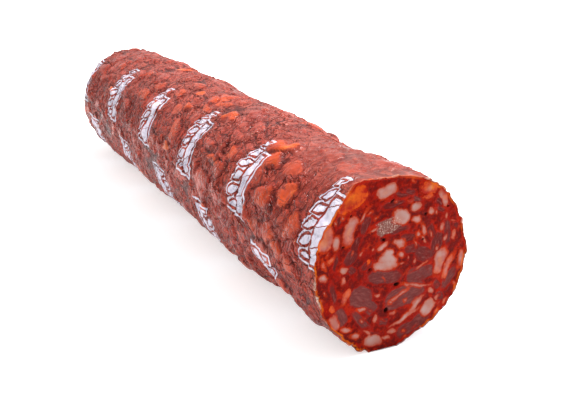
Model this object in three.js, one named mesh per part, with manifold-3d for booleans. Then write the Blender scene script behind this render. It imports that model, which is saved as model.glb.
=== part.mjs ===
// Half of a cured sausage, lying on its side: minced meat cured inside a printed casing,
// sliced flat across at one end and closed by a wire clip at the other.
//
// Millimetres, +Z up. The sausage lies along X, the sliced end at +X and the clipped end at -X.
// The origin is at the centre of the bounding box, on the surface that the sausage lies on.

import * as THREE from 'three';
import { mergeVertices } from 'three/addons/utils/BufferGeometryUtils.js';
import Module from 'manifold-3d';

// ---- Driving dimensions ----

const RADIUS = 30; // of the stuffed casing, a 60 mm calibre
const AXIS_HEIGHT = 30.7; // above the surface that the sausage lies on
const STUFFED_LENGTH = 304; // from the slice to the tip of the rounded end
const DOME_DEPTH = 25; // how far the rounded end reaches past the straight part
const CASING_WALL = 0.5;
const MEAT_GAP = 0.3; // between the casing and the meat inside it

const NECK_RADIUS = 4.5; // the casing where it is gathered under the clip
const NECK_LENGTH = 8;
const TAIL_RADIUS = 8; // the loose casing beyond the clip
const TAIL_LENGTH = 12;

const CLIP_WIRE_RADIUS = 1.2;
const CLIP_GAP = 0.3; // between the neck and the wire
const CLIP_OPENING = THREE.MathUtils.degToRad( 24 ); // between the two ends of the wire

const SIDES = 40; // facets round the sausage
const BODY_STEPS = 30; // rings along the straight part
const DOME_STEPS = 6; // rings over the rounded end

const STRAIGHT_LENGTH = STUFFED_LENGTH - DOME_DEPTH;
const TOTAL_LENGTH = STUFFED_LENGTH + NECK_LENGTH + TAIL_LENGTH;

// The sausage is soft where it was stuffed and dried unevenly. Each swelling is a smooth bump, or
// a hollow where its height is negative. Distances are in radii, counted from the slice, and
// angles in degrees round the axis, where 90 is the top and 180 the -Y side.
const SWELLINGS = [
	{ along: 0.0, angle: 116, height: 0.1, reach: 0.55, spread: 12 },
	{ along: 0.0, angle: 142, height: - 0.02, reach: 0.5, spread: 7 },
	{ along: 0.0, angle: - 165, height: - 0.06, reach: 0.75, spread: 30 },
	{ along: 0.0, angle: - 128, height: - 0.02, reach: 0.5, spread: 10 },
	{ along: 0.0, angle: - 103, height: 0.02, reach: 0.9, spread: 13 },
	{ along: 0.0, angle: - 68, height: - 0.035, reach: 0.6, spread: 13 },
	{ along: 0.0, angle: 20, height: - 0.03, reach: 0.7, spread: 16 },
	{ along: 0.5, angle: 60, height: 0.02, reach: 0.5, spread: 30 },
	{ along: 0.3, angle: - 138, height: 0.03, reach: 0.35, spread: 20 },
	{ along: 1.3, angle: - 138, height: - 0.075, reach: 0.35, spread: 28 },
	{ along: 1.8, angle: 60, height: - 0.06, reach: 0.5, spread: 38 },
	{ along: 2.1, angle: - 138, height: 0.015, reach: 0.5, spread: 30 },
	{ along: 2.6, angle: 150, height: 0.02, reach: 0.6, spread: 30 },
	{ along: 3.2, angle: - 140, height: 0.025, reach: 0.8, spread: 35 },
	{ along: 3.4, angle: 60, height: 0.015, reach: 0.6, spread: 40 },
	{ along: 3.9, angle: - 10, height: - 0.025, reach: 0.8, spread: 35 },
	{ along: 4.8, angle: - 138, height: - 0.015, reach: 0.4, spread: 40 },
	{ along: 5.1, angle: 130, height: - 0.02, reach: 0.7, spread: 30 },
	{ along: 5.9, angle: - 138, height: 0.02, reach: 0.6, spread: 32 },
	{ along: 6.0, angle: 62, height: 0.04, reach: 0.6, spread: 32 },
	{ along: 6.4, angle: - 20, height: 0.025, reach: 0.9, spread: 30 },
	{ along: 7.1, angle: 170, height: - 0.02, reach: 0.6, spread: 35 },
	{ along: 7.9, angle: 62, height: 0.04, reach: 0.5, spread: 32 },
	{ along: 8.3, angle: - 138, height: 0.03, reach: 0.5, spread: 32 },
	{ along: 8.8, angle: 0, height: - 0.03, reach: 0.7, spread: 40 },
	{ along: 9.6, angle: 175, height: 0.025, reach: 0.6, spread: 60 },
];

// The underside spreads a little under the sausage's own weight, and the surface flattens it.
const SAG_HEIGHT = 0.055;
const SAG_SPREAD = 15;
const UNDERSIDE = - 90;

const wasm = await Module();
wasm.setup();

// ---- Solids and meshes ----

function solidOf( geometry ) {

	const bare = geometry.clone();
	bare.deleteAttribute( 'normal' );
	bare.deleteAttribute( 'uv' );
	const merged = mergeVertices( bare, 1e-4 );
	return new wasm.Manifold( new wasm.Mesh( {
		numProp: 3,
		vertProperties: new Float32Array( merged.attributes.position.array ),
		triVerts: new Uint32Array( merged.index.array ),
	} ) );

}

function geometryOf( solid ) {

	const { vertProperties, triVerts } = solid.getMesh();
	const geometry = new THREE.BufferGeometry();
	geometry.setAttribute( 'position', new THREE.BufferAttribute( vertProperties, 3 ) );
	geometry.setIndex( new THREE.BufferAttribute( triVerts, 1 ) );
	geometry.computeVertexNormals();
	return geometry;

}

function namedMesh( name, geometry, colour, roughness, metalness = 0 ) {

	const material = new THREE.MeshStandardMaterial( { color: colour, roughness, metalness } );
	const mesh = new THREE.Mesh( geometry, material );
	mesh.name = name;
	return mesh;

}

// ---- The sausage's uneven round shape ----

function bell( distance, width ) {

	return Math.exp( - ( ( distance / width ) ** 2 ) );

}

function angleBetween( a, b ) {

	return THREE.MathUtils.euclideanModulo( a - b + 180, 360 ) - 180;

}

// How much wider than the plain radius the sausage is at a distance behind the slice and an angle.
function swelling( distance, angle ) {

	const along = Math.max( distance, 0 ) / RADIUS;
	let height = SAG_HEIGHT * bell( angleBetween( angle, UNDERSIDE ), SAG_SPREAD );
	for ( const s of SWELLINGS ) {

		height += s.height * bell( along - s.along, s.reach ) * bell( angleBetween( angle, s.angle ), s.spread );

	}

	const fade = 1 - THREE.MathUtils.smoothstep( distance, STRAIGHT_LENGTH, STUFFED_LENGTH );
	return 1 + height * fade;

}

// Turns a profile of (radius, distance behind the slice) into the uneven solid that lies on the
// surface. Floor is how high the flattened underside of this layer lies.
function layer( profile, floor ) {

	const geometry = new THREE.LatheGeometry( profile, SIDES ).rotateZ( Math.PI / 2 );
	const position = geometry.attributes.position;
	for ( let i = 0; i < position.count; i ++ ) {

		const distance = - position.getX( i );
		const angle = THREE.MathUtils.radToDeg( Math.atan2( position.getZ( i ), position.getY( i ) ) );
		const wider = swelling( distance, angle );
		const height = AXIS_HEIGHT + position.getZ( i ) * wider;
		position.setY( i, position.getY( i ) * wider );
		position.setZ( i, Math.max( height, floor ) );

	}

	return solidOf( geometry );

}

// The straight part and the rounded end, at a depth under the outer surface. It starts at the
// distance behind the slice and ends where the dome has narrowed to the end radius.
function stuffedProfile( depth, start, endRadius ) {

	const radius = RADIUS - depth;
	const dome = DOME_DEPTH - depth;
	const points = [ new THREE.Vector2( 0, start ) ];
	for ( let i = 0; i <= BODY_STEPS; i ++ ) {

		points.push( new THREE.Vector2( radius, THREE.MathUtils.lerp( start, STRAIGHT_LENGTH, i / BODY_STEPS ) ) );

	}

	const lastTurn = Math.acos( endRadius / radius );
	for ( let i = 1; i <= DOME_STEPS; i ++ ) {

		const turn = lastTurn * i / DOME_STEPS;
		points.push( new THREE.Vector2( radius * Math.cos( turn ), STRAIGHT_LENGTH + dome * Math.sin( turn ) ) );

	}

	return points;

}

function closedAtTip( profile, depth ) {

	return [ ...profile, new THREE.Vector2( 0, STUFFED_LENGTH - depth ) ];

}

// ---- Casing: the printed skin, gathered into a neck and a loose tail ----

function casing() {

	const tip = STUFFED_LENGTH;
	const outside = [
		...stuffedProfile( 0, 0, NECK_RADIUS * 1.6 ),
		new THREE.Vector2( NECK_RADIUS, tip + 1 ),
		new THREE.Vector2( NECK_RADIUS, tip + NECK_LENGTH ),
		new THREE.Vector2( TAIL_RADIUS * 0.85, tip + NECK_LENGTH + TAIL_LENGTH * 0.5 ),
		new THREE.Vector2( TAIL_RADIUS, tip + NECK_LENGTH + TAIL_LENGTH ),
		new THREE.Vector2( 0, tip + NECK_LENGTH + TAIL_LENGTH ),
	];
	const hollow = closedAtTip( stuffedProfile( CASING_WALL, - 2, NECK_RADIUS ), CASING_WALL );
	const shell = layer( outside, 0 ).subtract( layer( hollow, CASING_WALL ) );
	return namedMesh( 'casing', geometryOf( shell ), 0x8c4338, 0.55 );

}

// ---- Meat: the cured filling, one mass of lean, fat and paprika paste ----

function meat() {

	const depth = CASING_WALL + MEAT_GAP;
	const filling = layer( closedAtTip( stuffedProfile( depth, 0, NECK_RADIUS ), depth ), depth );
	return namedMesh( 'meat_filling', geometryOf( filling ), 0x96200f, 0.4 );

}

// ---- Clip: aluminium wire pressed round the gathered neck until its ends meet ----

class ClipPath extends THREE.Curve {

	getPoint( t, target = new THREE.Vector3() ) {

		const radius = NECK_RADIUS + CLIP_GAP + CLIP_WIRE_RADIUS;
		const turn = CLIP_OPENING / 2 + t * ( 2 * Math.PI - CLIP_OPENING );
		return target.set( 0, radius * Math.sin( turn ), - radius * Math.cos( turn ) );

	}

}

function clip() {

	const wire = new THREE.Shape().absarc( 0, 0, CLIP_WIRE_RADIUS, 0, 2 * Math.PI );
	const geometry = new THREE.ExtrudeGeometry( wire, {
		extrudePath: new ClipPath(),
		steps: 28,
		curveSegments: 8,
		bevelEnabled: false,
	} );
	const mesh = namedMesh( 'end_clip', geometry, 0xb9bcc0, 0.35, 1 );
	mesh.position.set( - STUFFED_LENGTH - NECK_LENGTH / 2, 0, AXIS_HEIGHT );
	return mesh;

}

// ---- Assembly, centred on the origin ----

const sausage = new THREE.Group();
sausage.add( casing(), meat(), clip() );

const box = new THREE.Box3().setFromObject( sausage );
sausage.position.set( TOTAL_LENGTH / 2, - ( box.min.y + box.max.y ) / 2, 0 );

export default sausage;
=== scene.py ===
import bpy
import numpy as np
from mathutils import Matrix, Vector


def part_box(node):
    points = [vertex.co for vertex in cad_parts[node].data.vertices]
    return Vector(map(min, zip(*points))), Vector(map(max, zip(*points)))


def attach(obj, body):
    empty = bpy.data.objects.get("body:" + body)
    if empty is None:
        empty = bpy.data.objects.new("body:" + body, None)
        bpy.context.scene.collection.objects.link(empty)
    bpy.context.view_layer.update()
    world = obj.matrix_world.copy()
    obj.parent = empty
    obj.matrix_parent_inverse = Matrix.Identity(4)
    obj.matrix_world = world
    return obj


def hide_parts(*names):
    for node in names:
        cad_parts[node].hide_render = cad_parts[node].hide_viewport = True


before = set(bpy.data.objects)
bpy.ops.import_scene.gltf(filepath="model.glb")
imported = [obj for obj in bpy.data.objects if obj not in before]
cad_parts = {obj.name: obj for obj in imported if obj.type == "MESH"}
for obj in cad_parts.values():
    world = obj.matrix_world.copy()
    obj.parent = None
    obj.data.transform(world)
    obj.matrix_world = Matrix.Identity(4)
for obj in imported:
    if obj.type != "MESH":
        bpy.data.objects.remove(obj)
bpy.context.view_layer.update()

# ---- Casing ----
# A printed film, stuffed tight with coarse meat and dried until it clings to every piece of it. A
# knife has cut it at the slice, and at the far end it is gathered into a neck and a loose tail.

# Sizes are in millimetres. The sausage lies along X, and a place on it is a distance behind the
# slice and an angle round the axis, where 90 is the top and 180 the -Y side.
MM = 0.001
slice_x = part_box("meat_filling")[1].x / MM
radius = 30.0
girth = 2 * np.pi * radius
axis_height = 30.7
dome_depth = 25.0
neck_length = 8.0
tail_length = 12.0
total_length = (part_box("casing")[1].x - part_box("casing")[0].x) / MM
stuffed_length = total_length - neck_length - tail_length
straight_length = stuffed_length - dome_depth
film = 0.22  # about twice the real film, so that its cut rim shows

# Each swelling is (radii behind the slice, angle, height, reach in radii, spread in degrees), and
# heights are shares of the radius. They are the same as the solid sausage's own.
swellings = [
    (0.0, 116, 0.1, 0.55, 12), (0.0, 142, -0.02, 0.5, 7), (0.0, -165, -0.06, 0.75, 30),
    (0.0, -128, -0.02, 0.5, 10), (0.0, -103, 0.02, 0.9, 13), (0.0, -68, -0.035, 0.6, 13),
    (0.0, 20, -0.03, 0.7, 16), (0.5, 60, 0.02, 0.5, 30), (0.3, -138, 0.03, 0.35, 20),
    (1.3, -138, -0.075, 0.35, 28), (1.8, 60, -0.06, 0.5, 38), (2.1, -138, 0.015, 0.5, 30),
    (2.6, 150, 0.02, 0.6, 30), (3.2, -140, 0.025, 0.8, 35), (3.4, 60, 0.015, 0.6, 40),
    (3.9, -10, -0.025, 0.8, 35), (4.8, -138, -0.015, 0.4, 40), (5.1, 130, -0.02, 0.7, 30),
    (5.9, -138, 0.02, 0.6, 32), (6.0, 62, 0.04, 0.6, 32), (6.4, -20, 0.025, 0.9, 30),
    (7.1, 170, -0.02, 0.6, 35), (7.9, 62, 0.04, 0.5, 32), (8.3, -138, 0.03, 0.5, 32),
    (8.8, 0, -0.03, 0.7, 40), (9.6, 175, 0.025, 0.6, 60),
]
underside = -90
sag_height = 0.055
sag_spread = 15.0


def bell(distance, width):
    """1 in the middle, falling smoothly to 0 beyond the width."""
    return np.exp(-((distance / width) ** 2))


def turn_between(one, other):
    """The turn from one angle to another, from -180 to 180 degrees."""
    return (one - other + 180) % 360 - 180


def smooth(value, low, high):
    """0 below low, 1 above high, and an S-shaped rise between them."""
    share = np.clip((value - low) / (high - low), 0, 1)
    return share * share * (3 - 2 * share)


def swelling(behind, angle):
    """How many times wider than the plain radius the sausage is there: 1 plus its swellings, and
    plus the sag of its underside, all fading to nothing over the rounded end."""
    along = np.maximum(behind, 0) / radius
    height = sag_height * bell(turn_between(angle, underside), sag_spread)
    for place, round_at, lift, reach, spread in swellings:
        height = height + lift * bell(along - place, reach) * bell(turn_between(angle, round_at), spread)
    return 1 + height * (1 - smooth(behind, straight_length, stuffed_length))


def chance(*whole, seed):
    """A repeatable random number from 0 to 1 for each set of whole numbers: they are multiplied and
    their bits mixed, one after another, and the top 24 bits are kept."""
    mixed = np.zeros(np.broadcast(*whole).shape, np.uint64) + np.uint64(seed * 7919 + 17)
    for part in whole:
        mixed = (mixed ^ part.astype(np.int64).astype(np.uint64)) * np.uint64(0x9E3779B97F4A7C15)
        mixed ^= mixed >> np.uint64(29)
    return (mixed >> np.uint64(40)).astype(float) / 2**24


def mottle(places, size, seed, layers=1):
    """Smooth random hills and hollows from -1 to 1, size mm across on each axis: random values at
    the corners of a lattice, eased between them. Each further layer is half as big and half as high."""
    total = 0
    reach = 0
    for layer in range(layers):
        at = [place / (np.broadcast_to(size, 3)[i] / 2**layer) for i, place in enumerate(places)]
        cell = [np.floor(a) for a in at]
        part = [a - c for a, c in zip(at, cell)]
        ease = [p * p * p * (p * (6 * p - 15) + 10) for p in part]
        value = 0
        for corner in np.ndindex(2, 2, 2):
            weight = np.prod([e if c else 1 - e for e, c in zip(ease, corner)], axis=0)
            value = value + weight * chance(*[c + k for c, k in zip(cell, corner)], seed=seed + layer)
        total = total + (2 * value - 1) / 2**layer
        reach += 1 / 2**layer
    return total / reach


def pebbles(around, along, count, pitch, seed):
    """Packed irregular cells, count of them round the sausage and one for each pitch mm along it,
    each round a point that has wandered in its square. Gives how far each place is inside its
    cell, 0 on a border, and the cell's own random number."""
    across = (around / girth * count, along / pitch)
    home = [np.floor(a) for a in across]
    nearest = np.full(np.shape(around), 9.0)
    second = nearest.copy()
    own = nearest.copy()
    for step_round, step_along in np.ndindex(3, 3):
        cell = (home[0] + step_round - 1, home[1] + step_along - 1)
        key = (cell[0] % count, cell[1])
        off_round = cell[0] + 0.1 + 0.8 * chance(*key, seed=seed) - across[0]
        off_along = cell[1] + 0.1 + 0.8 * chance(*key, seed=seed + 1) - across[1]
        far = np.hypot(off_round, off_along)
        second = np.minimum(second, np.maximum(far, nearest))
        own = np.where(far < nearest, chance(*key, seed=seed + 2), own)
        nearest = np.minimum(nearest, far)
    return (second - nearest) * min(girth / count, pitch), own


# Lumps are pieces of fat and meat that the film clings to: (radii behind the slice, angle, mm
# along the sausage, mm round it, height in mm, how orange). The ones by the slice and along the
# -Y flank are listed, about where a real one has them. The rest are scattered, clear of each other,
# of those and of the smooth top by the slice.
lumps = [
    (1.85, 115, 14, 8, 1.1, 0.9), (1.73, 129, 11, 8, 1.2, 0.8), (2.55, 136, 9, 6, 0.8, 0.8),
    (3.51, 114, 11, 7, 1.0, 0.9), (1.03, 138, 6, 3.6, 0.8, 0.75), (0.93, 141, 4, 4.6, 0.9, 0.85),
    (1.05, 144, 5, 3.4, 0.7, 0.7), (1.36, 152, 13, 8, 1.3, 0.55), (1.22, 126, 12, 8, 1.0, 0.4),
    (4.55, 147, 11, 7, 0.9, 0.6), (4.99, 108, 9, 5, 0.7, 0.8), (4.30, 94, 12, 8, 0.9, 0.7),
    (4.46, 106, 11, 6, 0.8, 0.6), (4.26, 115, 8, 5, 0.8, 0.8), (4.09, 103, 9, 5, 0.7, 0.6),
    (4.71, 123, 11, 5, 0.8, 0.8), (5.40, 114, 9, 6, 0.8, 0.6), (5.42, 98, 11, 6, 0.8, 0.3),
    (2.97, 150, 11, 4, 0.9, 0.7), (2.70, 153, 12, 8, 0.9, 0.3), (3.47, 162, 7, 10, 0.8, 0.2),
    (3.14, 170, 13, 8, 0.8, 0.2), (2.74, 107, 10, 5, 0.6, 0.2), (1.82, 143, 12, 9, 1.0, 0.3),
    (1.03, 169, 8, 6, 0.8, 0.7), (1.27, 188, 15, 10, 1.0, 0.4), (0.85, 177, 7, 7, 0.9, 0.7),
    (0.62, 184, 8, 6, 0.8, 0.6), (1.53, 173, 7, 4, 0.6, 0.7), (0.64, 158, 8, 9, 0.8, 0.7),
    (1.67, 167, 9, 6, 0.9, 0.5), (6.2, 118, 12, 7, 0.9, 0.5), (6.5, 135, 14, 6, 1.0, 0.6),
    (7.0, 112, 10, 6, 0.8, 0.7), (8.3, 120, 10, 6, 0.8, 0.4), (3.9, 175, 12, 6, 0.8, 0.3),
    (5.3, 165, 10, 7, 0.8, 0.3), (0.45, 105, 14, 9, 0.5, 0.2), (0.4, 80, 12, 9, 0.5, 0.1),
    (1.1, 98, 14, 9, 0.6, 0.2),
]
rng = np.random.default_rng(41)
scattered = 420
lump_room = 5.5
lump_slimness = 0.62
taken = np.array([(place * radius, np.radians(round_at) * radius) for place, round_at, *_ in lumps])
for place in rng.uniform((0, 0), (stuffed_length, girth), (scattered, 2)):
    off_along, off_round = (taken - place).T
    off_round = (off_round + girth / 2) % girth - girth / 2
    on_smooth_top = place[0] < 2 * radius and 45 < np.degrees(place[1] / radius) < 115
    if np.hypot(lump_slimness * off_along, off_round).min() > lump_room and not on_smooth_top:
        taken = np.vstack([taken, place])
        lumps.append((
            place[0] / radius, np.degrees(place[1] / radius), rng.uniform(5, 13), rng.uniform(3.5, 8),
            rng.uniform(0.35, 1.05), rng.uniform(0, 1) ** 3.5,
        ))


def lumps_under(behind, angle, sway, pale):
    """How high the lumps push the film, how lumpy and how orange it is there, and how deep it is
    drawn in along each lump's lower side, the side in shade, which the finish paints dark as painted
    shade. A lump is an oval with a rounded top, and the highest one counts where they overlap. Each
    changes pale to a tone of its own."""
    raised, lumpy, orange, drawn_in = np.zeros((4, *np.shape(behind)))
    for number, (place, centre, long, wide, height, hue) in enumerate(lumps):
        near = abs(behind - place * radius) < long
        near &= abs(turn_between(angle, centre)) * radius < np.degrees(wide)
        off_along = (behind[near] + sway[0][near] - place * radius) / (long / 2)
        off_round = (np.radians(turn_between(angle[near], centre)) * radius + sway[1][near]) / (wide / 2)
        far = np.hypot(off_along, off_round)
        body = np.clip(1 - (far / 1.25) ** 2.6, 0, 1) ** 0.75
        cover = smooth(1.2 - far, 0, 0.4)
        below = smooth(-off_round * np.sign(np.sin(np.radians(centre - 30))), -1.2, 0.6)
        raised[near] = np.maximum(raised[near], height * body)
        lumpy[near] = np.maximum(lumpy[near], cover)
        orange[near] = np.maximum(orange[near], hue * smooth(1.15 - far, 0, 0.4))
        drawn_in[near] = np.maximum(drawn_in[near], height * below * bell(far - 1.2, 0.14))
        pale[near] += (0.618 * number % 1 - pale[near]) * cover
    return raised, lumpy, orange, drawn_in


# How high the film's relief is, in mm, and where it is held in so that no lump stands too proud.
lump_gain = 1.6
pebble_height = 0.6
bump_height = 0.55
pillow_height = 0.5
wrinkle_height = 0.34
wrinkle_loss = 0.27  # over a lump, where the film is smoother
crease_depth = 0.7
relief_middle = 0.85
relief_lowest = -0.32
relief_highest = 1.7


def skin(behind, angle):
    """The film's relief in mm above the plain swollen shape, and its looks there, each from 0 to 1.
    The relief is the sum of the lumps, two sizes of pebbles, the pillows between long folds and a
    net of wrinkles, less the creases. Lumps and pebbles are swayed a little, so none is regular."""
    turn = np.radians(angle)
    round_at = turn * radius
    places = (behind, radius * np.cos(turn), radius * np.sin(turn))
    sway = [2.4 * mottle(places, 7, seed) + 1.3 * mottle(places, 3, seed + 9) for seed in (3, 5)]
    patchy = smooth(mottle(places, 16, 37, 2), -0.4, 0.5)
    broken = smooth(mottle(places, 5, 39, 2), -0.25, 0.3)
    here_and_there = smooth(mottle(places, 11, 47), -0.35, 0.2)

    inside, own = pebbles(round_at + sway[1], behind + sway[0], count=34, pitch=7.5, seed=11)
    pebbly = smooth(inside, 0, 2.2) * own
    pale = 0.5 + 0.7 * (own - 0.5) * smooth(inside, 0.1, 1.2)
    raised, lumpy, orange, drawn_in = lumps_under(behind, angle, sway, pale)
    small = pebbles(round_at + 0.7 * sway[0], behind + 0.7 * sway[1], count=64, pitch=3.6, seed=21)
    bumps = smooth(small[0], 0, 1.3) * (0.3 + 0.7 * small[1])

    # Over the top by the slice the film lies tight and smoother, and the finish paints it darker there as
    # painted shade.
    taut_and_shaded = (1 - smooth(behind, 30, 80)) * bell(turn_between(angle, 94), 38) * (1 - 0.5 * lumpy)
    # The top away from the slice and the rounded end are paler: partly drier film, and on the top partly
    # painted sheen.
    dry_and_sheen = smooth(np.sin(turn), 0.25, 0.95) * (0.1 + 0.9 * smooth(behind, 20, 90))
    dry_and_sheen = np.maximum(dry_and_sheen, 0.7 * smooth(behind, straight_length - 25, straight_length + 10))

    bend = 3.0 * mottle(places, 14, 31)
    slant = 0.25 * places[2]
    folds = mottle((behind + bend + slant, *places[1:]), (2.6, 9, 9), 33, 2)
    cross = mottle((behind - bend - slant, *places[1:]), (3.4, 5, 5), 35, 2)
    long_folds = mottle((behind + bend, *places[1:]), (17, 12, 12), 43, 2)
    wrinkle = (1 - 2.2 * abs(folds)) * 0.6 + (1 - 2.2 * abs(cross)) * 0.4
    pillow = smooth(abs(long_folds), 0, 0.3) * (1 - taut_and_shaded)
    # Creases are grooves in the relief, and the finish also paints them dark as painted shade. Those along a
    # lump's lower side are on its shaded side.
    shaded_crease = drawn_in * (0.15 + 0.85 * broken)
    shaded_crease = np.maximum(shaded_crease, 0.5 * bell(inside, 0.4) * smooth(own, 0.35, 0.8) * broken)
    long_crease = 0.75 * bell(long_folds, 0.07) * here_and_there
    shaded_crease = np.maximum(shaded_crease, long_crease * (1 - taut_and_shaded) * (1 - 0.7 * lumpy))

    relief = lump_gain * raised + pebble_height * pebbly * (1 - 0.6 * lumpy)
    relief = relief + bump_height * bumps * (1 - 0.75 * lumpy) + pillow_height * pillow
    relief = relief + wrinkle * (wrinkle_height - wrinkle_loss * lumpy) - crease_depth * np.minimum(shaded_crease, 1)
    return np.clip(relief - relief_middle, relief_lowest, relief_highest), {
        "lumpy": lumpy,
        "orange": orange,
        "pale": pale,
        "shaded_crease": np.clip(shaded_crease * 1.3, 0, 1),
        "loose": np.clip((1 - lumpy) * patchy**1.5 * (0.9 - 0.5 * pebbly) * (1 - taut_and_shaded), 0, 1),
        "taut_and_shaded": taut_and_shaded,
        "dry_and_sheen": dry_and_sheen * (1 - 0.5 * orange),
        "wrinkle": np.clip(0.5 + 0.6 * wrinkle, 0, 1),
        "bumps": bumps,
    }


# The casing is one closed shell: a profile carried round the axis, from the middle of the tail over
# the outside, round the cut rim, and back along the inside to the rounded end. The outside is rings
# of (mm behind the slice, radius), closest together near the slice.
ring_gap = 1.03
drawn_in_radius = 7.2  # where the rounded end gives way to the neck
neck_radius = 4.28
tail_flare = 4.3
tail_tuck = 5.5  # how deep the middle of the tail is folded in
body_share = np.linspace(0, 1, int(straight_length / ring_gap))
body_rings = 1.0 + (straight_length - 1) * (0.8 * body_share + 0.2 * body_share**2)
body_rings = np.append([0.0, 0.2, 0.5], body_rings)
dome_turns = np.linspace(0, np.arccos(drawn_in_radius / radius), 26)[1:]
gather = np.linspace(stuffed_length - 0.7, total_length, 24)[1:]
flare = tail_flare * smooth(gather, stuffed_length + neck_length - 1.5, total_length + 2)
shrink = np.exp(-np.maximum(gather - stuffed_length + 0.7, 0) / 1.1)
tuck = np.linspace(0, 1, 6)[1:]
out_behind = np.concatenate([
    body_rings,
    straight_length + dome_depth * np.sin(dome_turns),
    gather,
    gather[-1] - tail_tuck * np.sin(tuck * np.pi / 2),
])
out_radius = np.concatenate([
    np.full(len(body_rings), radius),
    radius * np.cos(dome_turns),
    neck_radius + (drawn_in_radius - neck_radius) * shrink + flare,
    (neck_radius + flare[-1]) * (1 - tuck),
])
slope_behind = np.gradient(out_behind)
slope_radius = np.gradient(out_radius)
slope_length = np.hypot(slope_behind, slope_radius)
lean_behind = (-slope_radius / slope_length)[:, None]
lean_out = (slope_behind / slope_length)[:, None]

# Pleats gather the film into the neck, and the cut rim wanders a little and is frayed in places.
sides = 256
pleat_height = 0.8
tail_pleat_share = 0.11  # of the radius there
rim_wander = 0.22
fray_along = 0.55
fray_out = 0.5
angles = underside + 360 * np.arange(sides) / sides
behind, angle = np.meshgrid(out_behind, angles, indexing="ij")
turn = np.radians(angle)
relief, looks = skin(np.minimum(behind, stuffed_length), angle)
pleated = smooth(-out_radius, -24, -8)[:, None]
pleats = np.cos(23 * turn + 1.4 * np.sin(3 * turn) + 0.9 * np.sin(5 * turn + 1))
pleats = pleats * (0.75 + 0.25 * np.cos(7 * turn + 2))
past_neck = smooth(behind, stuffed_length - 1, stuffed_length + 1)
pleats_high = pleat_height * pleated * (1 - past_neck) + tail_pleat_share * past_neck * out_radius[:, None]
relief = relief * (1 - past_neck) + pleats * pleats_high
rim_places = (behind * 0, radius * np.cos(turn), radius * np.sin(turn))
frayed = smooth(bell(turn_between(angle, -163), 17) + 0.7 * bell(turn_between(angle, 78), 26), 0.2, 0.7)
frayed = frayed * smooth(mottle(rim_places, 2.6, 57), 0.0, 0.3)
by_rim = bell(behind, 0.8)
out = swelling(behind, angle) * out_radius[:, None] + lean_out * relief + fray_out * by_rim * frayed
forward = by_rim * (rim_wander * mottle(rim_places, 2.4, 51, 2) + fray_along * frayed)


def round_axis(x, turn, out):
    """Points at a turn round the sausage's axis and a distance out from it."""
    return np.stack([x, np.cos(turn) * out, axis_height + np.sin(turn) * out], -1)


out_at = round_axis(slice_x - behind - lean_behind * relief + forward, turn, out)

# The inside of the film follows the outside near the rim, and is plain and smooth further in. The
# rim's inner edge is cut a hair further back, at a tenth less than the film's thickness.
inner_slack = 0.45
rim_slant = 0.02
rim_share = 0.9
in_behind = np.append([0.0, 0.5, 1.2, 2.2, 4.0, 7.0], np.linspace(12, straight_length, 44))
in_turns = np.linspace(0, np.pi / 2, 8)[1:]


def lining_radius(behind, angle, gap):
    """How far the inside of the film, less a gap, is from the axis: just under the outside by the
    rim, and at an even depth under the plain swollen shape beyond it."""
    swollen = radius * swelling(behind, angle)
    close = swollen + skin(behind, angle)[0] - film
    plain = swollen - inner_slack
    return plain + (close - plain) * (1 - smooth(behind, 2, 6)) - gap


def lining(behind_rings, turns, angles, gap):
    """Points of the rings along the straight part and over the rounded end, ending at its tip."""
    behind, angle = np.meshgrid(behind_rings, angles, indexing="ij")
    straight = round_axis(slice_x - behind, np.radians(angle), lining_radius(behind, angle, gap))
    depth, turn = np.meshgrid(turns, np.radians(angles), indexing="ij")
    tip = slice_x - straight_length - (dome_depth - inner_slack - gap) * np.sin(depth)
    dome = round_axis(tip, turn, (radius - inner_slack - gap) * np.cos(depth))
    return np.concatenate([straight, dome])


in_at = lining(in_behind, in_turns, angles, 0)
in_at[0, :, 0] = out_at[0, :, 0] - rim_slant
in_at[0, :, 1:] = out_at[0, :, 1:] + (in_at[0, :, 1:] - out_at[0, :, 1:]) * rim_share
rings_at = np.concatenate([out_at[::-1], in_at])
rings_at[..., 2] = np.maximum(rings_at[..., 2], 0)


def closed_tube(rings, sides):
    """Corner numbers of the faces that join rings of points into a tube: four to a face between two
    rings, and three where the first and the last ring have drawn in to a point."""
    numbers = np.arange(rings * sides).reshape(rings, sides)
    following = np.roll(numbers, -1, axis=1)
    walls = np.stack([numbers[1:-2], following[1:-2], following[2:-1], numbers[2:-1]], -1).reshape(-1, 4)
    first = np.stack([np.full(sides, numbers[0, 0]), following[1], numbers[1]], -1)
    last = np.stack([numbers[-2], following[-2], np.full(sides, numbers[-1, 0])], -1)
    return walls, np.concatenate([first, last])


def piece_from(name, points, walls, ends, finish):
    """A mesh object from points in mm and its four-sided and three-sided faces, with the points
    that no face uses left out. Also gives which points were kept, and the mesh's corners."""
    corners = np.concatenate([walls.ravel(), ends.ravel()])
    starts = np.concatenate([np.arange(len(walls)) * 4, 4 * len(walls) + 3 * np.arange(len(ends))])
    used = np.unique(corners)
    renumber = np.zeros(len(points), int)
    renumber[used] = np.arange(len(used))
    mesh = bpy.data.meshes.new(name)
    mesh.vertices.add(len(used))
    mesh.vertices.foreach_set("co", (points[used] * MM).astype(np.float32).ravel())
    mesh.loops.add(len(corners))
    mesh.loops.foreach_set("vertex_index", renumber[corners].astype(np.int32))
    mesh.polygons.add(len(starts))
    mesh.polygons.foreach_set("loop_start", starts.astype(np.int32))
    mesh.update(calc_edges=True)
    mesh.shade_smooth()
    mesh.materials.append(finish)
    piece = bpy.data.objects.new(name, mesh)
    bpy.context.scene.collection.objects.link(piece)
    return piece, used, corners


def record_on(piece, name, values):
    """Keeps one number for each of the piece's points, for its finish to read."""
    piece.data.attributes.new(name, "FLOAT", "POINT").data.foreach_set("value", values.astype(np.float32))


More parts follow.
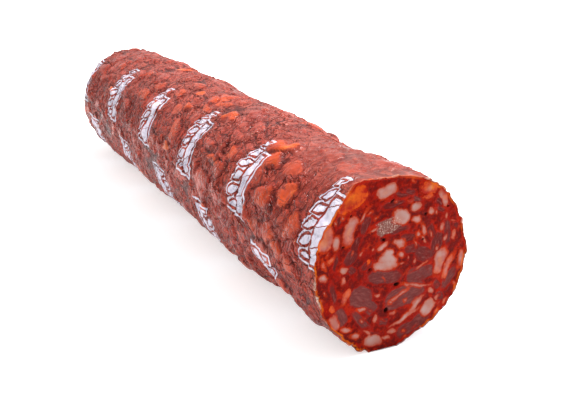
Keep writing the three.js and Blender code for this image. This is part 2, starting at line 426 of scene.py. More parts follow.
# The casing's finish. A finish is a recipe of steps, each one node, and a step goes into the recipe
# that its inputs are from.
def connect(socket, value):
    """Joins a step's output to a socket, or sets the socket to a number or a colour."""
    if isinstance(value, bpy.types.NodeSocket):
        socket.id_data.links.new(value, socket)
    else:
        socket.default_value = value


def recipe_of(*values):
    """The recipe that the steps among the values are from."""
    return next(value.id_data for value in values if isinstance(value, bpy.types.NodeSocket))


def step(kind, *inputs, recipe=None, give=0, **choices):
    """Adds one step and gives one of its outputs. Inputs fill its sockets in their order; a choice
    with a capital letter is a socket by name, and any other is a setting."""
    if recipe is None:
        recipe = recipe_of(*inputs, *choices.values())
    made = recipe.nodes.new("ShaderNode" + kind)
    sockets = {key.replace("_", " "): value for key, value in choices.items() if key[0].isupper()}
    for key, value in choices.items():
        if not key[0].isupper():
            setattr(made, key, value)
    for socket, value in [*zip(made.inputs, inputs), *((made.inputs[k], v) for k, v in sockets.items())]:
        connect(socket, value)
    return made.outputs[give]


def sums(operation, *inputs, clamp=False):
    """One step of arithmetic."""
    return step("Math", *inputs, operation=operation, use_clamp=clamp)


def times(first, *others):
    """Values multiplied together."""
    for other in others:
        first = sums("MULTIPLY", first, other)
    return first


def scaled(value, factor, base, clamp=False):
    """A value times a factor, plus a base."""
    return sums("MULTIPLY_ADD", value, factor, base, clamp=clamp)


def most(first, *others):
    """The largest of the values. Of distances out of shapes, the distance out of what they share."""
    for other in others:
        first = sums("MAXIMUM", first, other)
    return first


def ramp(value, low, high, to_low=0.0, to_high=1.0):
    """Carries values between low and high to between two others, with eased ends."""
    return step("MapRange", value, low, high, to_low, to_high, interpolation_type="SMOOTHSTEP")


def noise(place, scale, detail=2.0, roughness=0.5):
    """A soft random pattern from 0 to 1, with about as many bumps to the metre as its scale."""
    return step("TexNoise", Vector=place, Scale=scale, Detail=detail, Roughness=roughness)


def colour(red, green, blue):
    """A colour as it is seen, from 0 to 255 each, turned into the share of light that a surface
    gives back: the lights here are bright, so it is 0.6 of what is seen."""
    seen = np.array([red, green, blue]) / 255
    light = np.where(seen <= 0.04045, seen / 12.92, ((seen + 0.055) / 1.055) ** 2.4)
    return (*(0.6 * light).tolist(), 1.0)


def laid_over(share, under, over):
    """One colour or tone laid over another by a share from 0 to 1."""
    made = recipe_of(share, under, over).nodes.new("ShaderNodeMix")
    made.data_type = "RGBA"
    for number, value in ((0, share), (6, under), (7, over)):
        connect(made.inputs[number], colour(*value) if isinstance(value, tuple) else value)
    return made.outputs[2]


def tinted(tone, *layers):
    """A tone with more laid over it in turn, each (share, colour or tone)."""
    for share, over in layers:
        tone = laid_over(share, tone, over)
    return tone


def recorded(recipe, *names):
    """What record_on kept for each point, as one step's output for each name."""
    return [step("Attribute", recipe=recipe, attribute_name=name, give=2) for name in names]


def new_finish(name):
    """A material, its recipe, and the place on the piece that its patterns start from."""
    finish = bpy.data.materials.new(name)
    finish.use_nodes = True
    recipe = finish.node_tree
    return finish, recipe, step("TexCoord", recipe=recipe, give=3)


def finished(recipe, **looks):
    """Fills the sockets of the recipe's Principled shader, each by its name."""
    for name, value in looks.items():
        connect(recipe.nodes["Principled BSDF"].inputs[name.replace("_", " ")], value)


def wrinkles(place, scale, width):
    """Thin wandering lines, 1 on the line and 0 beyond its width: where a noise passes its middle."""
    return ramp(sums("ABSOLUTE", sums("ADD", noise(place, scale, 1.0, 0.55), -0.5)), width, 0.0)


casing_finish, recipe, place = new_finish("printed_casing")
sway = step("TexNoise", Vector=place, Scale=120.0, Detail=2.0, give=1)
stretched = step("Mapping", place, Scale=(1.4, 1.0, 1.0))
swayed = step("VectorMath", sway, (0.012, 0.012, 0.012), stretched, operation="MULTIPLY_ADD")
folds = wrinkles(swayed, 130.0, 0.045)
small_wrinkles = wrinkles(swayed, 220.0, 0.06)
tiny_wrinkles = wrinkles(swayed, 400.0, 0.085)
small_folds = noise(swayed, 250.0, 2.5)
grit = noise(place, 1500.0, 3.0, 0.6)
blotch = noise(place, 95.0, 4.0, 0.6)
fleck = noise(place, 620.0, 1.0)
lumpy, orange, pale, shaded_crease, loose = recorded(recipe, "lumpy", "orange", "pale", "shaded_crease", "loose")
taut_and_shaded, dry_and_sheen, wrinkle, bumps, gathered = recorded(recipe, "taut_and_shaded", "dry_and_sheen", "wrinkle", "bumps", "gathered")

hot = times(orange, ramp(blotch, 0.35, 0.58, 0.35, 1.0))
# A thin band round each lump's edge, where the film turns down, is painted darker: painted shade.
shaded_lump_edge = times(lumpy, sums("SUBTRACT", 1.0, lumpy))
fewer = scaled(lumpy, -0.7, 1.0)
calm = scaled(orange, -0.3, scaled(lumpy, -0.25, 1.0))
calm = times(calm, scaled(taut_and_shaded, -0.8, 1.0))
# Wrinkle lines are grooves in the bump, and the tone also paints them dark as painted shade.
lines = most(folds, times(small_wrinkles, 0.5), times(tiny_wrinkles, fewer, 0.25))
lines = times(lines, calm)

# The film's own red, then loose film, film over lumps, paler and darker pieces, painted light on the
# small bumps' tops and painted shade in the gaps between them, painted shade over the tight film by
# the slice, the top and the rounded end paler as partly drier film and partly painted sheen, orange
# fat, painted shade round the lumps' edges, painted highlights on folds and on the wrinkles' ridges,
# painted shade in the wrinkle lines and in the creases, pale flecks, and the gathered end, where the
# bare film shows.
tone = tinted(
    laid_over(ramp(blotch, 0.35, 0.65), (166, 46, 31), (186, 62, 42)),
    (times(loose, ramp(blotch, 0.36, 0.62, 0.1, 0.9)), (139, 54, 42)),
    (times(lumpy, ramp(blotch, 0.3, 0.6, 0.95, 0.45)), (159, 35, 22)),
    (ramp(pale, 0.5, 1.0, 0.0, 0.45), (198, 78, 54)),
    (ramp(pale, 0.5, 0.0, 0.0, 0.6), (119, 23, 18)),
    # Painted light on the small bumps' tops, partly each bump's own tone, and painted shade in the gaps
    # between them.
    (ramp(bumps, 0.35, 0.8, 0.0, 0.4), (192, 66, 44)),
    (ramp(bumps, 0.25, 0.0, 0.0, 0.7), (113, 19, 14)),
    # Painted shade over the tight film by the slice.
    (times(taut_and_shaded, 0.85), (110, 54, 47)),
    # Paler top and rounded end: partly drier film, partly painted sheen.
    (times(dry_and_sheen, ramp(blotch, 0.3, 0.6, 0.3, 0.5)), (164, 92, 83)),
    (hot, (222, 84, 28)),
    (ramp(times(hot, blotch), 0.42, 0.58, 0.0, 0.5), (238, 124, 48)),
    # Painted shade round the lumps' edges.
    (ramp(shaded_lump_edge, 0.05, 0.25, 0.0, 0.5), (116, 20, 13)),
    # Painted highlights on the small folds.
    (times(ramp(small_folds, 0.53, 0.63, 0.0, 0.42), fewer), (201, 100, 82)),
    # Painted highlights on the wrinkles' ridges, and painted shade in the wrinkle lines and hollows.
    (ramp(wrinkle, 0.62, 0.95, 0.0, 0.3), (187, 73, 55)),
    (most(times(lines, 0.75), ramp(wrinkle, 0.35, 0.05, 0.0, 0.4)), (89, 11, 8)),
    # Painted shade in the creases.
    (ramp(shaded_crease, 0.2, 0.9, 0.0, 0.8), (78, 11, 9)),
    (ramp(fleck, 0.76, 0.82, 0.0, 0.7), (240, 196, 150)),
    (gathered, laid_over(ramp(small_folds, 0.35, 0.65), (214, 148, 124), (248, 226, 210))),
)

# The print is white ink: rows of marks, each a plain sprig of leaves beside a solid band, with a
# thin outline round both. A mark runs round the sausage. Every second row is set half a pitch
# along and faces the other way. Sizes are in mm, and turns in degrees.
mark_pitch = 56.0
mark_first = 6.5
mark_narrowed = 0.87
row_turn = 72.0
row_first = 143.5
rows = 4
ink_wander = 1.6
bow = 0.012  # mm of bend for each mm squared along the mark
leaf_pitch = 5.4
leaf_rows = 5
leaf_offset = -2.1
leaf_half_long = 3.1
leaf_half_wide = 1.35
leaf_slant = (0.82, 0.57)  # the cosine and sine of the leaves' lean
band_offset = 3.3
band_half_wide = 2.1
band_middle = -3.2
band_half_long = 11.2
crack_pitch = 7.3
crack_at = 3.6
crack_half_wide = 0.16
outline_off = 1.45
outline_half_wide = 0.42


def within(value, middle, half):
    """Distance out of a stretch on both sides of a middle."""
    return sums("SUBTRACT", sums("ABSOLUTE", sums("ADD", value, -middle)), half)


def wrapped(value, pitch):
    """A value started again from 0 at every pitch."""
    return sums("FLOORED_MODULO", value, pitch)


unrolled = step("UVMap", recipe=recipe, uv_map="unrolled")
round_share = step("SeparateXYZ", unrolled, give=0)
along_share = step("SeparateXYZ", unrolled, give=1)
wander = scaled(noise(place, 260.0), ink_wander, -ink_wander / 2)
degrees = scaled(round_share, 360.0, underside - row_first + row_turn / 2 + 360)
degrees = wrapped(degrees, 360.0)
row = sums("FLOOR", sums("DIVIDE", degrees, row_turn))
odd = wrapped(row, 2.0)
facing = scaled(odd, -2.0, 1.0)
mm_per_degree = np.radians(1) * radius
up = scaled(wrapped(degrees, row_turn), -mm_per_degree, mm_per_degree * row_turn / 2)
up = sums("ADD", times(up, facing), wander)
over = scaled(along_share, total_length, mark_pitch / 2 - mark_first)
over = wrapped(scaled(odd, mark_pitch / 2, over), mark_pitch)
over = times(sums("ADD", over, -mark_pitch / 2), facing)
over = scaled(over, mark_narrowed, times(wander, 0.7))

bowed = sums("ADD", over, times(up, up, bow))
slimmer = ramp(up, 3.0, 14.0, 1.0, 0.6)
leaf_up = wrapped(sums("ADD", up, leaf_pitch * leaf_rows), leaf_pitch)
leaf_up = sums("ADD", leaf_up, -leaf_pitch / 2)
leaf_side = sums("DIVIDE", sums("ADD", bowed, leaf_offset), slimmer)
leaf_across = scaled(leaf_up, leaf_slant[0], times(leaf_side, leaf_slant[1]))
leaf_along = scaled(leaf_side, leaf_slant[0], times(leaf_up, -leaf_slant[1]))
leaf_edge = scaled(times(leaf_along, leaf_along), leaf_half_wide / leaf_half_long**2, -leaf_half_wide)
leaves = sums("ADD", sums("ABSOLUTE", leaf_across), leaf_edge)
leaves = most(leaves, within(up, 0.0, leaf_pitch * leaf_rows / 2))
band = within(bowed, -band_offset, times(slimmer, band_half_wide))
band = most(band, within(up, band_middle, band_half_long))
slanting = wrapped(scaled(over, 0.6, up), crack_pitch)
crack = within(slanting, crack_at, crack_half_wide)
outline = within(sums("MINIMUM", leaves, band), outline_off, outline_half_wide)
marks = sums("MINIMUM", outline, leaves)
marks = sums("MINIMUM", marks, most(band, times(crack, -1.0)))
printed = times(
    ramp(marks, 0.12, -0.12),
    sums("LESS_THAN", row, rows - 0.5),
    ramp(noise(swayed, 300.0, 4.0, 0.65), 0.3, 0.36),
    sums("SUBTRACT", 1.0, gathered, clamp=True),
)
# The print's white is painted darker in the small folds' hollows and lighter on their tops: painted shade and
# light.
shaded_ink = laid_over(ramp(small_folds, 0.3, 0.6), (206, 200, 220), (236, 231, 246))
tone = laid_over(times(printed, 0.94), tone, shaded_ink)
roughness = scaled(lumpy, -0.08, scaled(blotch, 0.2, 0.25))
roughness = scaled(printed, 0.1, roughness)
smoother = scaled(lumpy, -0.6, scaled(printed, -0.6, 1.0))
smoother = scaled(taut_and_shaded, -0.4, smoother, clamp=True)
height = scaled(lines, -0.4, scaled(grit, 0.03, times(small_folds, 0.45)))
height = times(height, smoother)
bump = step("Bump", Strength=1.0, Distance=0.0026, Height=height)
finished(recipe, Base_Color=tone, Roughness=roughness, Specular_IOR_Level=0.13, Normal=bump)

walls, ends = closed_tube(len(rings_at), sides)
casing, kept, corners = piece_from("casing_film", rings_at.reshape(-1, 3), walls, ends, casing_finish)

# The cut rim is stained orange, and frayed film is as pale as the gathered end. The inside has the
# looks of the rim.
gathered_inside = 0.3
looks["orange"] = np.maximum(looks["orange"], bell(behind, 0.45))
looks["gathered"] = smooth(behind, stuffed_length - 7, stuffed_length + 1) + frayed * bell(behind, 0.6)
for name, values in looks.items():
    rim = values[:1] if name != "gathered" else np.full((1, sides), gathered_inside)
    values = np.concatenate([values[::-1], np.repeat(rim, len(in_at), axis=0)])
    record_on(casing, name, np.clip(values, 0, 1).ravel()[kept])

# The unrolled map: how far round the sausage and how far along it each corner is, from 0 to 1. A
# face that closes the round ends at 1 instead of going back to 0.
dome_behind = np.full((len(in_turns), sides), stuffed_length)
along = np.concatenate([behind[::-1], np.repeat(in_behind, sides).reshape(-1, sides), dome_behind])
along = np.clip(along / total_length, 0, 1).ravel()[corners]
corner_counts = np.repeat([4, 3], [len(walls), len(ends)])
face_of = np.repeat(np.arange(len(corner_counts)), corner_counts)
closes = np.zeros(len(corner_counts), bool)
closes[face_of[corners % sides == sides - 1]] = True
around = (corners % sides) / sides
around = np.where(closes[face_of] & (around < 0.5), around + 1, around)
unrolled_map = casing.data.uv_layers.new(name="unrolled")
unrolled_map.uv.foreach_set("vector", np.stack([around, along], -1).astype(np.float32).ravel())
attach(casing, "root")
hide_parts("casing")

# ---- Meat ----
# Coarsely chopped pork bound by red paste: pale fat, mauve lean and orange paprika oil round them.
# A knife has left its end flat, a little below the rim, and behind that it fills the casing.
meat_gap = 0.06
meat_recess = 0.3
face_steps = 210

# The cut face is a square grid drawn out into a disc, so that its points lie evenly and none meet
# in the middle. Reach is how far out a point is, from 0 to 1.
share = 2 * np.arange(face_steps + 1) / face_steps - 1
square_across, square_up = np.meshgrid(share, share, indexing="ij")
flat = abs(square_across) > abs(square_up)
reach = np.where(flat, square_across, square_up)
other = np.where(flat, square_up, square_across) / np.where(reach == 0, 1, reach)
turn = np.where(flat, np.pi / 4 * other, np.pi / 2 - np.pi / 4 * other)
turn = np.where(reach < 0, turn + np.pi, turn)
reach = abs(reach)
edge_angles = -45 + 90 * np.arange(4 * face_steps) / face_steps
edge_out = lining_radius(np.full(4 * face_steps, meat_recess), edge_angles, meat_gap)
edge_here = np.interp(np.degrees(turn), edge_angles, edge_out, period=360)
out = reach * (radius + (edge_here - radius) * reach**2)
across = out * np.cos(turn)
up = out * np.sin(turn)

# Pieces on the face are (across, up, length, width, turn in degrees, last), in shares of the radius
# from the axis, as seen from the slice's side. The last number is how stained with oil a piece of
# fat is, or how grey a piece of lean, and isn't used in an air pocket. The listed ones lie about
# where a real slice has them, and the crumbs of fat between them are scattered.
fat_pieces = [
    (-0.50, 0.80, 0.40, 0.19, 34, 0.95), (-0.09, 0.84, 0.22, 0.14, 5, 0.25),
    (-0.52, 0.47, 0.32, 0.15, 72, 0.5), (-0.83, 0.41, 0.30, 0.21, 68, 0.55),
    (-0.69, 0.36, 0.18, 0.09, 80, 0.3), (0.10, 0.52, 0.21, 0.18, 150, 0.1), (0.29, 0.62, 0.15, 0.10, 10, 0.2),
    (0.29, 0.47, 0.13, 0.09, 165, 0.25), (0.46, 0.81, 0.24, 0.15, 5, 0.9), (0.44, 0.71, 0.13, 0.06, 5, 0.8),
    (0.65, 0.65, 0.23, 0.10, 108, 0.15), (0.48, 0.53, 0.08, 0.06, 155, 0.0),
    (0.41, 0.34, 0.14, 0.05, 115, 0.1), (0.35, 0.27, 0.08, 0.05, 60, 0.1),
    (0.09, 0.22, 0.17, 0.09, 155, 0.15), (-0.11, 0.23, 0.15, 0.08, 35, 0.3),
    (-0.09, -0.01, 0.33, 0.11, 174, 0.0), (-0.05, 0.05, 0.23, 0.12, 168, 0.0),
    (-0.04, 0.11, 0.13, 0.11, 150, 0.0), (0.13, 0.09, 0.09, 0.05, 160, 0.3), (0.14, 0.00, 0.07, 0.03, 5, 0.0),
    (0.65, -0.09, 0.33, 0.14, 72, 0.45), (0.76, -0.17, 0.30, 0.08, 66, 0.6),
    (0.93, -0.11, 0.22, 0.10, 88, 0.3), (0.80, 0.38, 0.08, 0.04, 145, 0.1), (0.70, 0.44, 0.09, 0.04, 80, 0.1),
    (0.82, 0.20, 0.13, 0.05, 80, 0.35), (-0.74, 0.18, 0.09, 0.05, 55, 0.7),
    (-0.61, 0.04, 0.10, 0.08, 165, 0.3), (-0.61, -0.08, 0.12, 0.06, 100, 0.5),
    (-0.85, -0.02, 0.12, 0.07, 130, 0.6), (-0.57, -0.28, 0.20, 0.08, 68, 0.7),
    (-0.72, -0.39, 0.11, 0.06, 115, 0.8), (-0.71, -0.57, 0.22, 0.11, 92, 0.35),
    (-0.56, -0.67, 0.14, 0.06, 155, 0.3), (-0.43, -0.79, 0.12, 0.06, 175, 0.2),
    (-0.30, -0.78, 0.14, 0.04, 150, 0.1), (-0.20, -0.90, 0.27, 0.15, 168, 0.0),
    (-0.03, -0.89, 0.14, 0.05, 165, 0.2), (-0.19, -0.63, 0.11, 0.06, 98, 0.2),
    (0.03, -0.60, 0.09, 0.05, 10, 0.4), (0.21, -0.68, 0.44, 0.06, 22, 0.1),
    (0.04, -0.82, 0.13, 0.07, 15, 0.3), (0.36, -0.55, 0.24, 0.07, 42, 0.2),
    (0.51, -0.63, 0.21, 0.15, 48, 0.0), (0.55, -0.43, 0.10, 0.06, 155, 0.4),
    (0.34, -0.32, 0.40, 0.035, 168, 0.15), (0.13, -0.41, 0.24, 0.035, 30, 0.15),
    (0.75, -0.61, 0.11, 0.04, 70, 0.3), (0.87, -0.40, 0.08, 0.04, 130, 0.4),
    (0.40, -0.10, 0.22, 0.022, 20, 0.4), (-0.37, 0.60, 0.14, 0.04, 55, 0.3),
    (0.22, 0.70, 0.10, 0.05, 20, 0.8),
]
lean_pieces = [
    (-0.34, 0.50, 0.24, 0.11, 68, 0.2), (-0.05, 0.44, 0.32, 0.19, 5, 1.0), (0.22, 0.80, 0.16, 0.07, 170, 0.2),
    (0.10, 0.77, 0.24, 0.05, 175, 0.1), (0.31, 0.71, 0.11, 0.08, 150, 0.6),
    (0.58, 0.62, 0.12, 0.09, 140, 0.1), (0.61, 0.53, 0.12, 0.06, 155, 0.1), (0.72, 0.26, 0.32, 0.09, 95, 0.3),
    (0.52, 0.30, 0.18, 0.09, 110, 0.1), (0.27, 0.13, 0.20, 0.10, 0, 0.3), (0.08, 0.37, 0.26, 0.07, 0, 0.2),
    (0.84, 0.31, 0.10, 0.07, 130, 0.2), (-0.52, 0.16, 0.20, 0.10, 60, 0.2),
    (-0.70, 0.14, 0.20, 0.07, 75, 0.1), (-0.72, -0.22, 0.30, 0.07, 108, 0.2),
    (-0.08, -0.14, 0.42, 0.17, 175, 0.5), (-0.37, -0.32, 0.30, 0.25, 155, 0.7),
    (-0.27, -0.46, 0.20, 0.16, 145, 0.7), (-0.63, -0.52, 0.26, 0.17, 115, 0.7),
    (-0.38, -0.60, 0.34, 0.10, 130, 0.6), (-0.06, -0.69, 0.16, 0.09, 165, 0.3),
    (-0.20, -0.80, 0.18, 0.05, 165, 0.2), (-0.32, 0.02, 0.14, 0.08, 20, 0.1),
    (-0.49, 0.01, 0.11, 0.09, 140, 0.2), (0.39, -0.20, 0.38, 0.20, 10, 0.7),
    (0.43, 0.04, 0.24, 0.18, 150, 0.3), (0.78, -0.33, 0.30, 0.12, 62, 0.6),
    (0.62, -0.37, 0.13, 0.08, 130, 0.3), (0.19, -0.42, 0.54, 0.26, 14, 0.75),
    (0.33, -0.83, 0.44, 0.20, 24, 0.3), (0.66, -0.53, 0.14, 0.10, 150, 0.3),
    (-0.45, 0.30, 0.20, 0.09, 70, 0.0), (0.20, 0.26, 0.20, 0.10, 20, 0.0), (0.60, 0.14, 0.26, 0.14, 80, 0.1),
    (-0.64, 0.62, 0.2, 0.08, 60, 0.0), (0.0, 0.68, 0.3, 0.08, 5, 0.0),
]
air_pockets = [
    (0.08, -0.26, 0.07, 0.045, 5, 0), (-0.04, -0.55, 0.06, 0.05, 60, 0), (-0.10, 0.30, 0.04, 0.03, 0, 0),
    (-0.60, 0.30, 0.03, 0.02, 0, 0), (0.71, 0.56, 0.03, 0.02, 0, 0), (0.42, 0.51, 0.04, 0.02, 0, 0),
    (-0.02, 0.72, 0.05, 0.02, 40, 0), (-0.28, -0.02, 0.03, 0.02, 40, 0), (-0.52, 0.63, 0.03, 0.02, 40, 0),
    (0.40, 0.22, 0.03, 0.02, 40, 0), (-0.42, -0.92, 0.04, 0.02, 160, 0), (0.36, -0.95, 0.03, 0.02, 20, 0),
]
rng = np.random.default_rng(77)
crumbs = 130
for turned, far, size in zip(
        rng.uniform(0, 360, crumbs), rng.uniform(0.05, 0.98, crumbs) ** 0.6, rng.uniform(0, 1, crumbs)):
    spot = (far * np.cos(np.radians(turned)), far * np.sin(np.radians(turned)))
    clear = min(
        np.hypot(spot[0] - piece[0], spot[1] - piece[1]) - (piece[2] + piece[3]) / 4.2 for piece in fat_pieces
    )
    if clear > 0.035 + 0.02 * size:
        long = 0.035 + 0.07 * size**2
        fat_pieces.append((*spot, long, long * rng.uniform(0.3, 0.7), turned + 90 + rng.uniform(-25, 25),
                           rng.uniform(0, 1) ** 2))


def depth_in(pieces, across, up, squareness=2.4):
    """How deep each point is inside the piece it is deepest in, in mm and below 0 outside them all,
    with that piece's turn and last number. Each piece is an oval with squared-off ends."""
    deepest = np.full(np.shape(across), -50.0)
    its_turn = np.zeros(np.shape(across))
    its_last = np.zeros(np.shape(across))
    for middle_across, middle_up, long, wide, turned, last in pieces:
        cosine, sine = np.cos(np.radians(turned)), np.sin(np.radians(turned))
        off = (across - middle_across * radius, up - middle_up * radius)
        along_it = abs(off[0] * cosine + off[1] * sine) / (long * radius / 2)
        across_it = abs(off[1] * cosine - off[0] * sine) / (wide * radius / 2)
        far = (along_it**squareness + across_it**squareness) ** (1 / squareness)
        depth = (1 - far) * wide * radius / 2
        deeper = depth > deepest
        its_turn = np.where(deeper, turned, its_turn)
        its_last = np.where(deeper, last, its_last)
        deepest = np.where(deeper, depth, deepest)
    return deepest, its_turn, its_last


def mixture(across, up, edge_share):
    """What the meat is made of at each point of the slice: how deep in fat, in lean and in an air
    pocket, how stained that fat is, how that lean's grain is turned and how grey it is, how dark
    the paste is and how much orange oil it holds, both in swirls round the axis, and how near the
    rim, up to 1."""
    places = (across, up, np.zeros(np.shape(across)))
    shift = [0.9 * mottle(places, 4.5, seed, 2) + 0.3 * mottle(places, 1.3, seed + 4, 2) for seed in (61, 71)]
    fat, _, stain = depth_in(fat_pieces, across + shift[0], up + shift[1])
    lean, grain, grey = depth_in(lean_pieces, across + shift[1], up + shift[0], 3.2)
    hollow, _, _ = depth_in(air_pockets, across + 0.3 * shift[1], up + 0.3 * shift[0])
    turn = np.arctan2(up, across)
    flow = (14 * np.cos(turn), 14 * np.sin(turn), np.hypot(across, up) + 2 * mottle(places, 9, 97))
    swirl = mottle(flow, (8, 8, 2.8), 89, 2)
    stain = stain * smooth(mottle(places, 3.4, 83, 2) + 1.5 * stain - 0.35, -0.2, 0.5)
    stain = np.maximum(stain, 0.6 * smooth(edge_share + 0.12 * mottle(places, 3.4, 85), 0.86, 1.0))
    return {
        "fat": fat,
        "lean": lean,
        "hollow": hollow,
        "stain": stain,
        "grain": np.radians(grain),
        "grey": grey,
        "patch": 0.5 + 0.35 * mottle(places, 6.0, 81, 2) + 0.6 * swirl,
        "orange_oil": smooth(mottle(places, 5.0, 87, 3) - 0.5 * swirl, 0.05, 0.6),
        "rim": edge_share,
    }


# The knife leaves the fat a little proud, the lean a little low, and the air pockets open.
face = mixture(across, up, reach)
fat_rise = 0.14
lean_drop = 0.10
grain_height = 0.16
pocket_depth = 0.9
sway_height = 0.3
face_highest = 0.25
face_height = fat_rise * smooth(face["fat"], -0.3, 0.5) - lean_drop * smooth(face["lean"], -0.3, 0.5)
grainy = mottle((across, up, 0 * up), 3.0, 91, 3) * (1 - smooth(face["fat"], 0, 0.6))
face_height = face_height + grain_height * grainy - pocket_depth * smooth(face["hollow"], -0.1, 0.35)
face_height = face_height + sway_height * mottle((across, up, 0 * up), 17, 95)
face_height = np.minimum(face_height * (1 - 0.6 * smooth(reach, 0.96, 1.0)), face_highest)
face_at = np.stack([slice_x - meat_recess + face_height, across, axis_height + up], -1)

# Behind the face the meat is a closed tube. The grid's four edges, in order, are its first ring.
side_behind = np.append([0.7, 1.5, 3.0, 6.0], np.linspace(12, straight_length, 42))
side_turns = np.linspace(0, np.pi / 2, 7)[1:]
side_at = lining(side_behind, side_turns, edge_angles, meat_gap)
count = face_steps + 1
numbers = np.arange(count * count).reshape(count, count)
face_walls = np.stack([numbers[:-1, :-1], numbers[1:, :-1], numbers[1:, 1:], numbers[:-1, 1:]], -1)
edge_numbers = np.concatenate([numbers[-1, :-1], numbers[:0:-1, -1], numbers[0, :0:-1], numbers[:-1, 0]])
side_numbers = count * count + np.arange(side_at.shape[0] * side_at.shape[1]).reshape(side_at.shape[:2])
side_numbers = np.concatenate([edge_numbers[None], side_numbers])
following = np.roll(side_numbers, -1, axis=1)
side_walls = np.stack([side_numbers[1:-1], following[1:-1], following[:-2], side_numbers[:-2]], -1)
tip = np.full(len(edge_numbers), side_numbers[-1, 0])
tip_ends = np.stack([tip, following[-2], side_numbers[-2]], -1)
meat_points = np.concatenate([face_at.reshape(-1, 3), side_at.reshape(-1, 3)])
meat_points[:, 2] = np.maximum(meat_points[:, 2], 0.1)

meat_finish, recipe, place = new_finish("cured_meat")
fine = noise(place, 1100.0, 4.0, 0.6)
middling = noise(place, 380.0, 4.0, 0.6)
broad = noise(place, 120.0)
sparkle = noise(place, 2000.0, 3.0)
fat, lean, hollow, stain, grain, grey, patch, orange_oil, rim = recorded(
    recipe, "fat", "lean", "hollow", "stain", "grain", "grey", "patch", "orange_oil", "rim")
turned = step("VectorRotate", place, Axis=(1.0, 0.0, 0.0), Angle=grain, invert=True)
fibres = noise(step("Mapping", turned, Scale=(1.0, 0.2, 1.0)), 1900.0, 3.0, 0.6)
ragged = scaled(middling, 1.1, -0.55)
rough_edge = sums("ADD", ragged, scaled(fine, 0.5, -0.25))
fat_depth = sums("ADD", fat, times(rough_edge, 0.8))
lean_depth = sums("ADD", lean, rough_edge)
is_fat = ramp(fat_depth, -0.05, 0.22)
is_lean = ramp(lean_depth, -0.2, 0.5)
halo = ramp(fat_depth, -0.55, -0.02)
seam = times(ramp(lean_depth, -0.55, -0.1), ramp(lean_depth, 0.3, -0.05))
specks = times(orange_oil, ramp(middling, 0.42, 0.58))
specks = most(ramp(fine, 0.56, 0.66, 0.0, 0.9), specks)
grainy = ramp(grey, 0.75, 0.95)
glint = times(ramp(sparkle, 0.54, 0.64), grainy, is_lean, 0.6)
golden = times(ramp(fat_depth, 0.8, 2.2), ramp(broad, 0.36, 0.6, 0.15, 0.85))
at_rim = sums("ADD", rim, times(ragged, 0.03))

paste = tinted(
    laid_over(ramp(middling, 0.36, 0.62), (108, 6, 0), (150, 12, 0)),
    (ramp(patch, 0.42, 0.78, 0.0, 0.7), (94, 13, 11)),
    (ramp(fine, 0.43, 0.3, 0.0, 0.32), (74, 0, 0)),
    (times(specks, 0.55), (196, 40, 2)),
)
lean_tone = tinted(
    laid_over(grey, (104, 23, 21), (121, 60, 58)),
    (grainy, (134, 88, 80)),
    (ramp(fibres, 0.48, 0.68, 0.0, 0.5), (152, 82, 77)),
    (ramp(middling, 0.5, 0.68, 0.0, 0.5), (128, 18, 10)),
    (ramp(fibres, 0.42, 0.25, 0.0, 0.4), (84, 12, 14)),
)
oil = laid_over(ramp(middling, 0.4, 0.62), (168, 16, 0), (218, 76, 2))
fat_tone = tinted(
    laid_over(ramp(broad, 0.35, 0.65), (180, 126, 115), (190, 152, 146)),
    (ramp(middling, 0.58, 0.34, 0.0, 0.25), (184, 96, 78)),
    (ramp(fat_depth, 1.0, 0.05, 0.0, 0.75), (188, 66, 28)),
    (stain, laid_over(golden, oil, (240, 132, 16))),
)
tone = tinted(
    paste,
    (is_lean, lean_tone),
    (times(seam, 0.45), (176, 24, 6)),
    (times(halo, 0.7), laid_over(ramp(broad, 0.4, 0.62), (160, 22, 4), (204, 56, 8))),
    (is_fat, fat_tone),
    (ramp(at_rim, 0.965, 0.99, 0.0, 0.85),
     laid_over(ramp(broad, 0.4, 0.6), (180, 26, 2), (238, 110, 24))),
    # The air pockets are painted near black: painted shade inside them.
    (ramp(hollow, -0.25, 0.2), (44, 4, 2)),
    (glint, (224, 186, 170)),
)
height = scaled(fine, 0.5, middling)
height = scaled(times(is_fat, height), -0.7, height)
finished(
    recipe,
    Base_Color=tone,
    Roughness=scaled(middling, 0.3, 0.2),
    Specular_IOR_Level=0.03,
    Subsurface_Weight=0.08,
    Subsurface_Radius=(0.0012, 0.0004, 0.0003),
    Subsurface_Scale=1.0,
    Normal=step("Bump", Strength=0.7, Distance=0.0006, Height=height),
)

meat_walls = np.concatenate([face_walls.reshape(-1, 4), side_walls.reshape(-1, 4)])
meat, kept, _ = piece_from("chopped_meat", meat_points, meat_walls, tip_ends, meat_finish)
side_mix = mixture(side_at[..., 1], side_at[..., 2] - axis_height, np.ones(side_at.shape[:2]))
for name, values in face.items():
    record_on(meat, name, np.concatenate([values.ravel(), side_mix[name].ravel()])[kept])
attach(meat, "root")
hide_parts("meat_filling")

# ---- Clip ----
# A ring of aluminium wire pressed round the gathered neck by a clipping machine. Its two ends
# stop short of each other underneath, and the jaws have left it slightly flat on its outside.
clip_low, clip_high = (np.array(corner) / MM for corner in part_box("end_clip"))
clip_middle = (clip_low[0] + clip_high[0]) / 2
wire = (clip_high[0] - clip_low[0]) / 2
clip_radius = (clip_high[1] - clip_low[1]) / 2 - wire
opening = 24.0
rounded_share = 0.03  # of half the wire's length, over which an end draws in
clip_turns = 96
wire_sides = 24
jaw_marks = 6
jaw_depth = 0.05
along_wire = np.linspace(0, 1, clip_turns)
bend_at = np.radians(underside + opening / 2 + (360 - opening) * along_wire)[:, None]
past = np.maximum(abs(2 * along_wire - 1) - (1 - rounded_share), 0) / rounded_share
wire_here = wire * np.sqrt(np.clip(1 - past**2, 0, 1))[:, None]
section = 2 * np.pi * np.arange(wire_sides) / wire_sides
flatter = np.clip(np.cos(section) * 1.12, -1, 0.9)
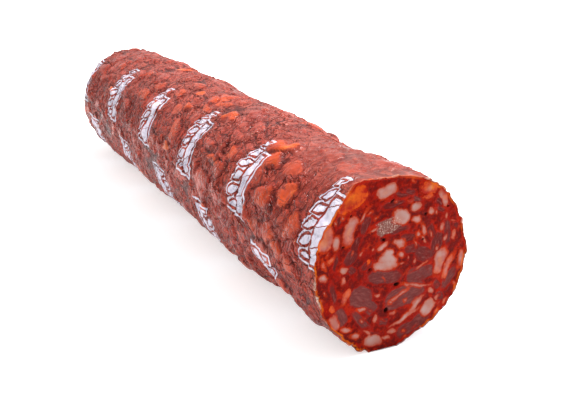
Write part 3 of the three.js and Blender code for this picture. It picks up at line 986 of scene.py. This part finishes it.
pressed = 1 - jaw_depth * (0.5 + 0.5 * np.cos(2 * np.pi * jaw_marks * along_wire))[:, None]
clip_x = clip_middle + wire_here * np.sin(section) * 0.98
clip_at = round_axis(clip_x, bend_at, clip_radius + wire_here * flatter * pressed)
clip_finish, recipe, place = new_finish("clip_wire")
drawn = step("Mapping", place, Scale=(6.0, 1.0, 1.0))
scuffs = noise(drawn, 900.0, 4.0)
finished(
    recipe,
    Base_Color=laid_over(ramp(scuffs, 0.35, 0.65), (168, 168, 170), (206, 206, 208)),
    Roughness=scaled(scuffs, 0.3, 0.22),
    Metallic=1.0,
    Normal=step("Bump", Strength=0.3, Distance=0.0001, Height=scuffs),
)
walls, ends = closed_tube(clip_turns, wire_sides)
clip, _, _ = piece_from("wire_clip", clip_at.reshape(-1, 3), walls, ends, clip_finish)
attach(clip, "root")
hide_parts("end_clip")

# ---- Floor, light and camera ----
# A wide white tabletop, lit softly from above on all sides, with a little more light from over the
# slice so that the cut face and the top of the casing stand out. The camera looks down along the
# sausage from beside the slice.
floor_size = 6.0
floor_points = np.array([(-1, -1, 0), (1, -1, 0), (1, 1, 0), (-1, 1, 0)]) * floor_size / MM
floor_finish, recipe, place = new_finish("tabletop")
grain = noise(place, 30.0, 3.0)
finished(
    recipe,
    Base_Color=scaled(grain, 0.03, 0.68),
    Roughness=0.9,
    Emission_Color=(1, 1, 1, 1),
    Emission_Strength=0.55,
)
one_face = np.arange(4)[None]
floor, _, _ = piece_from("tabletop", floor_points, one_face, np.zeros((0, 3), int), floor_finish)


def soft_light(name, place, aim, size, power):
    """A square area light, size metres wide, at a place and turned towards another."""
    lamp = bpy.data.lights.new(name, "AREA")
    lamp.shape = "SQUARE"
    lamp.size = size
    lamp.energy = power
    holder = bpy.data.objects.new(name, lamp)
    holder.location = place
    holder.rotation_euler = (Vector(aim) - Vector(place)).to_track_quat("-Z", "Y").to_euler()
    bpy.context.scene.collection.objects.link(holder)


middle = (0.03, 0.0, 0.03)
soft_light("overhead", (0.0, 0.36, 1.0), middle, 0.4, 27.0)
soft_light("front", (0.9, -0.7, 0.8), middle, 0.5, 2.0)
studio = bpy.data.worlds.new("studio")
studio.use_nodes = True
studio.node_tree.nodes["Background"].inputs["Color"].default_value = (1, 1, 1, 1)
studio.node_tree.nodes["Background"].inputs["Strength"].default_value = 1.0
bpy.context.scene.world = studio
bpy.context.scene.view_settings.view_transform = "Standard"

camera_ahead = 7.2915 * radius
camera_aside = 4.8864 * radius
camera_height = 3.6791 * radius + axis_height
camera_turn = 63.75
camera_down = 19.37
sight = bpy.data.cameras.new("camera")
sight.lens = 54.95
sight.sensor_width = 36.0
camera = bpy.data.objects.new("camera", sight)
camera.location = ((slice_x + camera_ahead) * MM, -camera_aside * MM, camera_height * MM)
camera.rotation_euler = (np.radians(90 - camera_down), 0, np.radians(camera_turn))
bpy.context.scene.collection.objects.link(camera)
bpy.context.scene.camera = camera
